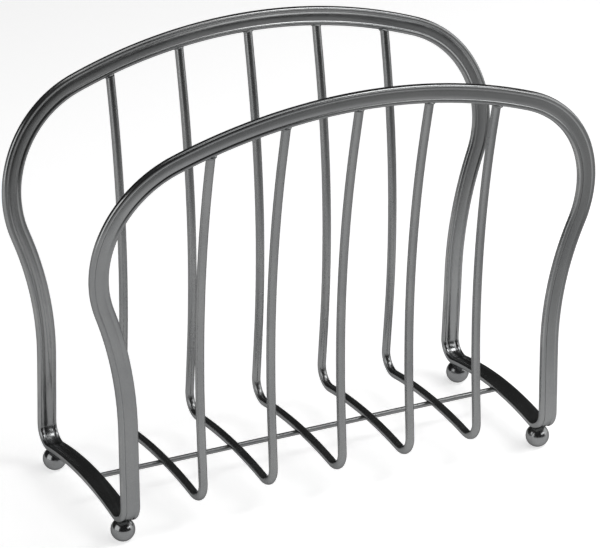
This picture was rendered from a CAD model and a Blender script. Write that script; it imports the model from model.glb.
from math import acos, asin, atan2, cos, pi, radians, sin, sqrt

import bmesh
import bpy
from mathutils import Matrix, Vector


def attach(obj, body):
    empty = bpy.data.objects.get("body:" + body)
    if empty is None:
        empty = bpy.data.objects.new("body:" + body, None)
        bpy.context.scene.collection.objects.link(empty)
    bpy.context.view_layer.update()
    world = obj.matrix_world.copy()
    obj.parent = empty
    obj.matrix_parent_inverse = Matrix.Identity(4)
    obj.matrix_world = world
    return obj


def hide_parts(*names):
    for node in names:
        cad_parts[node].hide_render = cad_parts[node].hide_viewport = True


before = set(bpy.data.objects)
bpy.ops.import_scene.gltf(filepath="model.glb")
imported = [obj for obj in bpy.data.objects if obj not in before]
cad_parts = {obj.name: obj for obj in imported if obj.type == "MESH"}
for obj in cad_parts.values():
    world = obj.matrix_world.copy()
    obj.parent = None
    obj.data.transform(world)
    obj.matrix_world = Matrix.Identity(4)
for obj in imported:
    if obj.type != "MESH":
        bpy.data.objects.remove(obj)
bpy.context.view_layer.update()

# Front and rear hoops. Each is one steel strip, rolled with a bead along both edges and a shallow crowned
# band between two grooves. It is bent to its balloon outline while flat, then pressed over a curved
# former that turns in the foot bends and base rails, and lacquered graphite grey with the whole rack.
MM = 0.001
strip_width = 12.4 * MM
strip_thickness = 4.6 * MM
band_thickness = 4.2 * MM
groove_thickness = 3.4 * MM
bead_radius = 1.9 * MM
groove_radius = 0.4 * MM
leg_x = 146.5 * MM
leg_rise = 48 * MM
sweep_radius = 238 * MM
sweep_angle = radians(20.4)
shoulder_radius = 71 * MM
crown_radius = 349 * MM
foot_y = 52.7 * MM
foot_bend_radius = 11.5 * MM
rail_low = 16.5 * MM
rail_rise = 5.1 * MM
hoop_lean_in = radians(2.3)
hoop_straight = 32 * MM
hoop_curve_radius = 950 * MM
hoop_lean_out = radians(6.7)
join_gap = 0.01 * MM

shoulder_x = leg_x + sweep_radius * (1 - cos(sweep_angle)) - shoulder_radius * cos(sweep_angle)
shoulder_s = leg_rise + (sweep_radius + shoulder_radius) * sin(sweep_angle)
crown_half = asin(shoulder_x / (crown_radius - shoulder_radius))
crown_centre = shoulder_s - (crown_radius - shoulder_radius) * cos(crown_half)
shoulder_turn = pi / 2 - crown_half + sweep_angle
rail_angle = asin(2 * foot_y * rail_rise / (foot_y ** 2 + rail_rise ** 2))
rail_radius = (foot_y ** 2 + rail_rise ** 2) / (2 * rail_rise) - foot_bend_radius
rail_length = rail_radius * rail_angle
bend_length = foot_bend_radius * (pi / 2 + hoop_lean_in + rail_angle)


def upright_step(length, lean):
    """Travel in depth and height along an upright that leans outwards."""
    return Vector((length * sin(lean), length * cos(lean)))


def former(s):
    """Depth and height of the strip's middle at a length s above the foot bend, and its outward lean."""
    if s < -bend_length:
        angle = (s + bend_length + rail_length) / rail_radius
        height = rail_low + rail_rise - rail_radius * (1 - cos(angle))
        return Vector((rail_radius * sin(angle), height)), pi / 2 + angle
    bend_foot = Vector((foot_y, rail_low))
    if s < 0:
        lean = -hoop_lean_in - s / foot_bend_radius
        return bend_foot + foot_bend_radius * Vector((cos(lean), 1 - sin(lean))), lean
    start = bend_foot + foot_bend_radius * Vector((cos(hoop_lean_in), 1 + sin(hoop_lean_in)))
    curve_length = hoop_curve_radius * (hoop_lean_in + hoop_lean_out)
    along_curve = min(max(s - hoop_straight, 0), curve_length)
    lean = along_curve / hoop_curve_radius - hoop_lean_in
    curve = hoop_curve_radius * Vector((cos(hoop_lean_in) - cos(lean), sin(lean) + sin(hoop_lean_in)))
    below = upright_step(min(s, hoop_straight), -hoop_lean_in)
    above = upright_step(max(s - hoop_straight - curve_length, 0), hoop_lean_out)
    return start + below + curve + above, lean


def last_of(done, kind):
    """The vertices or edges that a spin ends on."""
    return [g for g in done["geom_last"] if isinstance(g, kind)]


def strip_section(bm):
    """The rolled section, drawn with x across the strip and y through it: one quarter, then mirrored."""
    half_width = strip_width / 2
    bead_x = half_width - bead_radius
    bead_y = strip_thickness / 2 - bead_radius
    band_half = bead_x - sqrt(bead_radius ** 2 - (groove_thickness / 2 - bead_y) ** 2)
    band_drop = (band_thickness - groove_thickness) / 2
    band_radius = (band_half ** 2 + band_drop ** 2) / (2 * band_drop)
    band_y = band_thickness / 2 - band_radius
    # The groove is rounded by an arc that touches both the band and the bead
    from_band = band_radius + groove_radius
    from_bead = bead_radius + groove_radius
    apart = Vector((bead_x, bead_y - band_y)).length
    between = acos((apart ** 2 + from_band ** 2 - from_bead ** 2) / (2 * apart * from_band))
    band_angle = atan2(bead_x, bead_y - band_y) - between
    groove_x = from_band * sin(band_angle)
    groove_y = band_y + from_band * cos(band_angle)
    bead_angle = atan2(groove_y - bead_y, groove_x - bead_x)
    groove_angle = bead_angle + band_angle - pi / 2
    end = [bm.verts.new((0, band_thickness / 2, 0))]
    for centre, angle, steps in (
        ((0, band_y, 0), -band_angle, 8),
        ((groove_x, groove_y, 0), groove_angle, 5),
        ((bead_x, bead_y, 0), -bead_angle, 14),
    ):
        done = bmesh.ops.spin(bm, geom=end, cent=centre, axis=(0, 0, 1), angle=angle, steps=steps)
        end = last_of(done, bmesh.types.BMVert)
    bmesh.ops.spin(bm, geom=end, axis=(0, 0, 1), angle=0, steps=1, dvec=(0, -bead_y, 0))
    for axis in ("Y", "X"):
        bmesh.ops.mirror(bm, geom=bm.verts[:] + bm.edges[:], axis=axis, merge_dist=join_gap)
    bmesh.ops.remove_doubles(bm, verts=bm.verts[:], dist=join_gap)
    across = bm.verts.layers.float.new("across")
    for v in bm.verts:
        v[across] = v.co.x / half_width
    return bm.edges[:]


def roll(bm, edges, steps, travel=0.0, centre=(0, 0, 0), angle=0.0):
    """Carries the open end of the flat strip on, straight up or round an arc."""
    done = bmesh.ops.spin(
        bm, geom=edges, cent=centre, axis=(0, 1, 0), angle=angle, steps=steps, dvec=(0, 0, travel / steps),
    )
    return last_of(done, bmesh.types.BMEdge)


def hoop_mesh(name, side):
    """A hoop from the seam in the middle of one rail round to the seam in the other."""
    bm = bmesh.new()
    end = strip_section(bm)
    bmesh.ops.translate(bm, verts=bm.verts[:], vec=(leg_x, 0, -bend_length - rail_length))
    end = roll(bm, end, steps=12, travel=rail_length)
    end = roll(bm, end, steps=20, travel=bend_length)
    end = roll(bm, end, steps=8, travel=leg_rise)
    end = roll(bm, end, steps=16, centre=(leg_x + sweep_radius, 0, leg_rise), angle=sweep_angle)
    end = roll(bm, end, steps=40, centre=(shoulder_x, 0, shoulder_s), angle=-shoulder_turn)
    roll(bm, end, steps=30, centre=(0, 0, crown_centre), angle=-crown_half)
    bmesh.ops.mirror(bm, geom=bm.verts[:] + bm.edges[:] + bm.faces[:], axis="X", merge_dist=join_gap)
    bmesh.ops.remove_doubles(bm, verts=bm.verts[:], dist=join_gap)
    for v in bm.verts:
        place, lean = former(v.co.z)
        depth = place.x - v.co.y * cos(lean)
        v.co = (v.co.x, side * depth, place.y + v.co.y * sin(lean))
    for face in bm.faces:
        face.smooth = True
    seam = [e for e in bm.edges if e.is_boundary]
    bmesh.ops.holes_fill(bm, edges=seam, sides=0)
    for edge in seam:
        edge.smooth = False
    bmesh.ops.recalc_face_normals(bm, faces=bm.faces[:])
    mesh = bpy.data.meshes.new(name)
    bm.to_mesh(mesh)
    bm.free()
    return mesh


class Finish:
    """A node material in the making: a Principled shader and a few plain steps in front of it."""

    def __init__(self, name):
        self.material = bpy.data.materials.new(name)
        self.material.use_nodes = True
        self.nodes = self.material.node_tree.nodes
        self.links = self.material.node_tree.links
        self.shader = self.nodes["Principled BSDF"]
        self.place = self.nodes.new("ShaderNodeTexCoord").outputs["Object"]

    def cloud(self, scale, detail):
        """Soft noise over the piece, its scale in clouds to the metre."""
        noise = self.nodes.new("ShaderNodeTexNoise")
        noise.inputs["Scale"].default_value = scale
        noise.inputs["Detail"].default_value = detail
        self.links.new(self.place, noise.inputs["Vector"])
        return noise.outputs["Fac"]

    def spread(self, value, low, high, to_low=0.0, to_high=1.0):
        """Stretches a value from one range to another, and holds it at the ends."""
        band = self.nodes.new("ShaderNodeMapRange")
        band.inputs["From Min"].default_value = low
        band.inputs["From Max"].default_value = high
        band.inputs["To Min"].default_value = to_low
        band.inputs["To Max"].default_value = to_high
        self.links.new(value, band.inputs["Value"])
        return band.outputs["Result"]

    def reckon(self, kind, first, second=None):
        """One step of arithmetic, on values from other steps or plain numbers."""
        step = self.nodes.new("ShaderNodeMath")
        step.operation = kind
        for socket, value in zip(step.inputs, (first, second)):
            if isinstance(value, float):
                socket.default_value = value
            elif value is not None:
                self.links.new(value, socket)
        return step.outputs["Value"]

    def blend(self, share, under, over):
        """Lays a share of one colour over another."""
        mix = self.nodes.new("ShaderNodeMix")
        mix.data_type = "RGBA"
        self.links.new(share, mix.inputs["Factor"])
        for socket, colour in ((mix.inputs["A"], under), (mix.inputs["B"], over)):
            if isinstance(colour, tuple):
                socket.default_value = (*colour, 1)
            else:
                self.links.new(colour, socket)
        return mix.outputs["Result"]


graphite_deep = (0.182, 0.186, 0.188)
graphite_pale = (0.216, 0.219, 0.219)
flake_colour = (0.36, 0.365, 0.37)
pooled_colour = (0.075, 0.077, 0.080)
rubbed_colour = (0.34, 0.34, 0.335)
flake_share = 0.3
pooled_dulling = 0.12
rubbed_polish = 0.08
peel_depth = 0.05 * MM


def graphite_lacquer(name, roughness, worn=None, pooled=None):
    """Satin metallic graphite over steel: drifting tone, fine flake, faint orange peel, rubbed high spots."""
    finish = Finish(name)
    shader = finish.shader
    shader.inputs["Metallic"].default_value = 0.94
    shader.inputs["Specular Tint"].default_value = (0.3, 0.3, 0.3, 1)
    shader.inputs["Coat Weight"].default_value = 0.12
    shader.inputs["Coat Roughness"].default_value = 0.14
    drift = finish.spread(finish.cloud(17, detail=3), 0.35, 0.65)
    tone = finish.blend(drift, graphite_deep, graphite_pale)
    flake = finish.spread(finish.cloud(2600, detail=1), 0.5, 0.75, 0, flake_share)
    tone = finish.blend(flake, tone, flake_colour)
    gloss = finish.spread(finish.cloud(60, detail=4), 0.3, 0.7, roughness - 0.04, roughness + 0.05)
    if pooled:
        share = pooled(finish)
        tone = finish.blend(share, tone, pooled_colour)
        gloss = finish.reckon("ADD", gloss, finish.reckon("MULTIPLY", share, pooled_dulling))
    if worn:
        share = worn(finish)
        tone = finish.blend(share, tone, rubbed_colour)
        gloss = finish.reckon("SUBTRACT", gloss, finish.reckon("MULTIPLY", share, rubbed_polish))
    finish.links.new(tone, shader.inputs["Base Color"])
    finish.links.new(gloss, shader.inputs["Roughness"])
    peel = finish.nodes.new("ShaderNodeBump")
    peel.inputs["Strength"].default_value = 0.1
    peel.inputs["Distance"].default_value = peel_depth
    finish.links.new(finish.cloud(650, detail=2), peel.inputs["Height"])
    finish.links.new(peel.outputs["Normal"], shader.inputs["Normal"])
    return finish.material


def strip_distance(finish):
    """Distance from the strip's centre line, from 0 to 1 at its edges."""
    across = finish.nodes.new("ShaderNodeAttribute")
    across.attribute_name = "across"
    return finish.reckon("ABSOLUTE", across.outputs["Fac"])


def rubbed_beads(finish):
    """Patches where the lacquer is rubbed thin along the edge beads."""
    bead_flank = 0.78
    bead_crest = 0.95
    crest = finish.spread(strip_distance(finish), bead_flank, bead_crest)
    patches = finish.spread(finish.cloud(38, detail=5), 0.48, 0.72, 0, 0.55)
    return finish.reckon("MULTIPLY", crest, patches)


def filled_grooves(finish):
    """Two faint lines where the lacquer has pooled in the grooves."""
    groove = 0.45
    pool_half_width = 0.07
    pool_share = 0.06
    away = finish.reckon("ABSOLUTE", finish.reckon("SUBTRACT", strip_distance(finish), groove))
    return finish.spread(away, 0, pool_half_width, pool_share, 0)


strip_lacquer = graphite_lacquer("strip_lacquer", roughness=0.22, worn=rubbed_beads, pooled=filled_grooves)
for name, side in (("front_hoop", -1), ("rear_hoop", 1)):
    mesh = hoop_mesh(name + "_strip", side)
    mesh.materials.append(strip_lacquer)
    hoop = bpy.data.objects.new(name + "_strip", mesh)
    bpy.context.scene.collection.objects.link(hoop)
    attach(hoop, "root")
    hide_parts(name)

# Five U-shaped wires. Each is a length of round drawn steel wire, bent to a front upright, a run across
# the base and a rear upright, and welded at both ends to the inner edges of the hoops. Use has rubbed the
# lacquer on top of the runs across the base.
base_height = 26 * MM
base_fade = 3 * MM


def rubbed_base(finish):
    """Patches on the upward faces of the wires, low down in the base."""
    split = finish.nodes.new("ShaderNodeSeparateXYZ")
    finish.links.new(finish.place, split.inputs["Vector"])
    low = finish.spread(split.outputs["Z"], base_height - base_fade, base_height, 1, 0)
    face = finish.nodes.new("ShaderNodeSeparateXYZ")
    finish.links.new(finish.nodes.new("ShaderNodeNewGeometry").outputs["Normal"], face.inputs["Vector"])
    top = finish.spread(face.outputs["Z"], 0.75, 0.97)
    patches = finish.spread(finish.cloud(90, detail=5), 0.45, 0.7, 0, 0.6)
    return finish.reckon("MULTIPLY", finish.reckon("MULTIPLY", low, top), patches)


wire_lacquer = graphite_lacquer("wire_lacquer", roughness=0.25, worn=rubbed_base)
for name in ("left_outer_wire", "left_inner_wire", "centre_wire", "right_inner_wire", "right_outer_wire"):
    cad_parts[name].material_slots[0].material = wire_lacquer

# Base rod. A thin round steel rod under the cross wires and both rails, which are welded down onto it.
# It carries the same lacquer, a little duller because it was sprayed from above.
rod_lacquer = graphite_lacquer("rod_lacquer", roughness=0.36)
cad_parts["base_rod"].material_slots[0].material = rod_lacquer

# Ball feet. Four turned steel balls, each with a small flat to stand on and a small flat welded up against
# the rail above it. Their lacquer flows out smoother than on the strip and is scuffed round the floor flat.
scuff_start = 0.2 * MM
scuff_height = 1.6 * MM


def scuffed_foot(finish):
    """Patches round the flat that a foot stands on."""
    split = finish.nodes.new("ShaderNodeSeparateXYZ")
    finish.links.new(finish.place, split.inputs["Vector"])
    low = finish.spread(split.outputs["Z"], scuff_start, scuff_height, 1, 0)
    patches = finish.spread(finish.cloud(420, detail=4), 0.4, 0.65)
    return finish.reckon("MULTIPLY", low, patches)


foot_lacquer = graphite_lacquer("foot_lacquer", roughness=0.2, worn=scuffed_foot)
for name in ("front_left_foot", "front_right_foot", "rear_left_foot", "rear_right_foot"):
    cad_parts[name].material_slots[0].material = foot_lacquer

# Wire welds. A small bead of weld metal closes the corner between each wire end and the rounded inner edge
# of the hoop. It is left as it flowed, a little lumpy, and lacquered over with the rest.
wire_pitch = 48 * MM
weld_half_length = 3.2 * MM
weld_half_depth = 2.75 * MM
weld_half_height = 1.5 * MM
weld_lump = 0.06
weld_lumps_along = 3.5
inner_radius = crown_radius - strip_width / 2
weld_lacquer = graphite_lacquer("weld_lacquer", roughness=0.33)
for name, side in (("front_wire_welds", -1), ("rear_wire_welds", 1)):
    bm = bmesh.new()
    for place in (-2, -1, 0, 1, 2):
        x = place * wire_pitch
        middle, lean = former(crown_centre + sqrt(inner_radius ** 2 - x ** 2))
        bead = bmesh.ops.create_uvsphere(bm, u_segments=36, v_segments=18, radius=1)["verts"]
        for v in bead:
            v.co *= 1 + weld_lump * sin(pi * weld_lumps_along * v.co.x + place) * cos(2 * pi * v.co.y)
        bmesh.ops.scale(bm, verts=bead, vec=(weld_half_length, weld_half_depth, weld_half_height))
        turn = Matrix.Rotation(-lean, 4, "X") @ Matrix.Rotation(asin(x / inner_radius), 4, "Y")
        bmesh.ops.transform(bm, verts=bead, matrix=Matrix.Translation((x, middle.x, middle.y)) @ turn)
    bmesh.ops.scale(bm, verts=bm.verts[:], vec=(1, side, 1))
    bmesh.ops.recalc_face_normals(bm, faces=bm.faces[:])
    for face in bm.faces:
        face.smooth = True
    mesh = bpy.data.meshes.new(name + "_beads")
    bm.to_mesh(mesh)
    bm.free()
    mesh.materials.append(weld_lacquer)
    beads = bpy.data.objects.new(name + "_beads", mesh)
    bpy.context.scene.collection.objects.link(beads)
    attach(beads, "root")
    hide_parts(name)

# Floor. A plain pale studio floor, which is not part of the rack. It is white round and behind the rack and
# falls off softly to a pale grey at the right front, for the camera and in the metal alike. It keeps the
# rack's shadow.
floor_reach = 20.0
floor_colour = 0.8
white_glow = 0.6
fading_way = (0.65, -0.76, 0)
fading_start = 0.2
fading_end = 0.46
faded_share = 0.42
floor_mesh = bpy.data.meshes.new("floor")
bm = bmesh.new()
bmesh.ops.create_grid(bm, x_segments=1, y_segments=1, size=floor_reach)
bm.to_mesh(floor_mesh)
bm.free()
floor_paint = Finish("floor_paint")
floor_paint.shader.inputs["Roughness"].default_value = 0.9
floor_paint.shader.inputs["Emission Color"].default_value = (1, 1, 1, 1)
along = floor_paint.nodes.new("ShaderNodeVectorMath")
along.operation = "DOT_PRODUCT"
along.inputs[1].default_value = fading_way
floor_paint.links.new(floor_paint.place, along.inputs[0])
share = floor_paint.spread(along.outputs["Value"], fading_start, fading_end, 1, faded_share)
share.node.interpolation_type = "SMOOTHSTEP"
tone = floor_paint.reckon("MULTIPLY", share, floor_colour)
floor_paint.links.new(tone, floor_paint.shader.inputs["Base Color"])
rays = floor_paint.nodes.new("ShaderNodeLightPath").outputs
seen = floor_paint.reckon("MAXIMUM", rays["Is Camera Ray"], rays["Is Glossy Ray"])
seen = floor_paint.reckon("MAXIMUM", seen, rays["Is Transmission Ray"])
glow = floor_paint.reckon("MULTIPLY", floor_paint.reckon("MULTIPLY", seen, share), white_glow)
floor_paint.links.new(glow, floor_paint.shader.inputs["Emission Strength"])
floor_mesh.materials.append(floor_paint.material)
floor = bpy.data.objects.new("floor", floor_mesh)
bpy.context.scene.collection.objects.link(floor)

# Studio light. A long soft box hangs over the front of the rack, a brighter one to its right and a weak one
# over the middle. Large boxes stand at both sides, and a low one in front. The room round them is dim.
rack_middle = (0, 0, 0.12)
room_tone = (0.03, 0.03, 0.03, 1)
for name, place, aim, size, power in (
    ("overhead_box", (0.0, 0.1, 1.5), rack_middle, (0.9, 0.6), 2.4),
    ("long_box", (0.5, -0.46, 1.25), (0.44, 0, 0.12), (1.4, 0.4), 3.2),
    ("key_box", (0.85, -0.34, 1.2), (0.78, 0, 0.12), (0.9, 0.44), 6.0),
    ("low_front_box", (0.75, -0.95, 0.64), (0.1, 0, 0.12), (0.8, 0.3), 1.9),
    ("right_box", (1.8, -0.3, 0.62), rack_middle, (2.2, 1.2), 14.0),
    ("left_box", (-1.6, -0.15, 0.62), rack_middle, (1.3, 1.15), 8.9),
):
    lamp = bpy.data.lights.new(name, "AREA")
    lamp.shape = "RECTANGLE"
    lamp.size, lamp.size_y = size
    lamp.energy = power
    lamp_object = bpy.data.objects.new(name, lamp)
    lamp_object.location = place
    lamp_object.rotation_euler = (Vector(aim) - Vector(place)).to_track_quat("-Z", "Y").to_euler()
    bpy.context.scene.collection.objects.link(lamp_object)

world = bpy.data.worlds.new("studio")
bpy.context.scene.world = world
world.use_nodes = True
world.node_tree.nodes["Background"].inputs["Color"].default_value = room_tone

# Camera. It stands in front of the rack, to its left and above it, and looks at it through a long lens. Its
# turn, tilt and roll are those of the photograph.
camera_place = (-0.90584, -1.76824, 1.01600)
camera_turn = radians(27.129)
camera_tilt = radians(24.075)
camera_roll = radians(0.603)
camera_data = bpy.data.cameras.new("camera")
camera_data.sensor_width = 36
camera_data.lens = 208.5
camera = bpy.data.objects.new("camera", camera_data)
turned = Matrix.Rotation(-camera_turn, 4, "Z")
turned = turned @ Matrix.Rotation(pi / 2 - camera_tilt, 4, "X")
turned = turned @ Matrix.Rotation(camera_roll, 4, "Z")
camera.matrix_world = Matrix.Translation(camera_place) @ turned
bpy.context.scene.collection.objects.link(camera)
bpy.context.scene.camera = camera
bpy.context.scene.view_settings.view_transform = "Standard"
